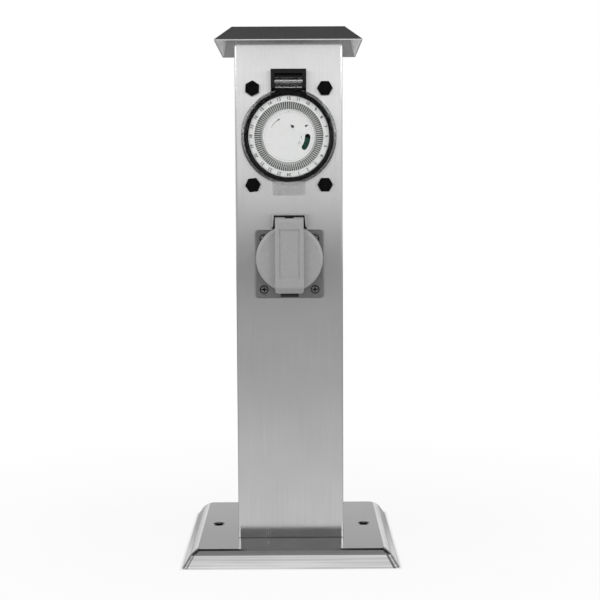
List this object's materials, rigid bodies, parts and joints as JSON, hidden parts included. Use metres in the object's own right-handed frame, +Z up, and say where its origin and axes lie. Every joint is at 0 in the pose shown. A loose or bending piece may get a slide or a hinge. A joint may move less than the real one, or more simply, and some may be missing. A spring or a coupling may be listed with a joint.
{
  "type": "garden socket",
  "caption": "Stainless steel garden socket post on a square base, with a roofed column, a 24 hour dial timer under a clear cover and an earthed outlet under a sprung lid.",
  "frame": {"origin": "middle of the base's underside, where it stands on the ground", "axes": "+Z up along the column, the timer and outlet face -Y, +X to the right seen from the front"},
  "size_m": [0.16, 0.16, 0.3958],
  "materials": {
    "polished_steel": "polished stainless sheet",
    "brushed_steel": "brushed stainless sheet",
    "dark_steel": "brushed stainless sheet",
    "zinc_steel": "bright zinc plate",
    "black_steel": "black coated steel",
    "black_plastic": "glossy moulded black",
    "white_plastic": "satin moulded white",
    "tappet_plastic": "satin moulded green black",
    "green_plastic": "glossy moulded green",
    "clear_plastic": "clear moulded polycarbonate",
    "lid_plastic": "fine grained moulded grey",
    "housing_plastic": "fine grained moulded dark grey",
    "seal_rubber": "soft black rubber",
    "contact_brass": "bright brass",
    "motor_metal": "pressed sheet can"
  },
  "bodies": {
    "post": {"base_plate": "polished_steel", "column": "brushed_steel", "foot_plate": "brushed_steel", "roof_collar": "brushed_steel", "terminal_bracket": "brushed_steel", "roof_cap": "dark_steel", "foot_screws": "zinc_steel", "roof_screws": "zinc_steel", "terminal_screws": "zinc_steel", "timer_nuts": "zinc_steel", "cover_hinge_pin": "zinc_steel", "socket_screws": "zinc_steel", "socket_nuts": "zinc_steel", "contact_screws": "zinc_steel", "lid_pin": "zinc_steel", "lid_spring": "zinc_steel", "timer_bolts": "black_steel", "timer_bezel": "black_plastic", "timer_housing": "black_plastic", "cover_hinge_bracket": "black_plastic", "timer_back_cover": "black_plastic", "micro_switch": "black_plastic", "face_disc": "white_plastic", "movement_plate": "white_plastic", "terminal_block": "white_plastic", "socket_housing": "housing_plastic", "socket_well": "housing_plastic", "socket_insert": "housing_plastic", "contact_carrier": "housing_plastic", "cable_grommet": "seal_rubber", "timer_gasket": "seal_rubber", "socket_gasket": "seal_rubber", "timer_terminals": "contact_brass", "earth_contact": "contact_brass", "line_contact": "contact_brass", "neutral_contact": "contact_brass", "timer_motor": "motor_metal"},
    "cover": {"timer_cover": "clear_plastic"},
    "dial": {"dial_ring": "white_plastic", "dial_tappets": "tappet_plastic"},
    "tappet_1_body": {"tappet_1": "tappet_plastic"},
    "tappet_2_body": {"tappet_2": "tappet_plastic"},
    "tappet_3_body": {"tappet_3": "tappet_plastic"},
    "tappet_4_body": {"tappet_4": "tappet_plastic"},
    "slider": {"override_slider": "green_plastic"},
    "trip": {"trip_slide": "black_plastic"},
    "pinion": {"drive_pinion": "contact_brass"},
    "lid": {"socket_lid": "lid_plastic", "lid_seal": "seal_rubber"}
  },
  "joints": [
    {"name": "cover_hinge", "type": "hinge", "parent": "post", "child": "cover", "pos_m": [0, -0.0455, 0.3556], "axis": [-1, 0, 0], "range_deg": [0, 95]},
    {"name": "lid_hinge", "type": "hinge", "parent": "post", "child": "lid", "pos_m": [0, -0.0501, 0.2517], "axis": [-1, 0, 0], "range_deg": [0, 95], "stiffness_Nm_per_rad": 0.01, "springref_deg": -28.65},
    {"name": "dial_spin", "type": "hinge", "parent": "post", "child": "dial", "pos_m": [0, 0, 0.3153], "axis": [0, 1, 0], "continuous": true},
    {"name": "pinion_spin", "type": "hinge", "parent": "post", "child": "pinion", "pos_m": [0, 0, 0.2901], "axis": [0, 1, 0], "continuous": true},
    {"name": "override_slide", "type": "hinge", "parent": "post", "child": "slider", "pos_m": [0, 0, 0.3153], "axis": [0, -1, 0], "range_deg": [0, 14]},
    {"name": "trip_slide_in", "type": "slide", "parent": "post", "child": "trip", "axis": [0, 0, -1], "range_m": [0, 0.0009], "stiffness_N_per_m": 200, "springref_m": -0.001},
    {"name": "tappet_1_push", "type": "slide", "parent": "dial", "child": "tappet_1_body", "axis": [0.098, 0, -0.9952], "range_m": [0, 0.0018]},
    {"name": "tappet_2_push", "type": "slide", "parent": "dial", "child": "tappet_2_body", "axis": [0.0327, 0, -0.9995], "range_m": [0, 0.0018]},
    {"name": "tappet_3_push", "type": "slide", "parent": "dial", "child": "tappet_3_body", "axis": [-0.0327, 0, -0.9995], "range_m": [0, 0.0018]},
    {"name": "tappet_4_push", "type": "slide", "parent": "dial", "child": "tappet_4_body", "axis": [-0.098, 0, -0.9952], "range_m": [0, 0.0018]}
  ],
  "couplings": [
    {"joint": "pinion_spin", "follows": "dial_spin", "ratio": -6}
  ]
}
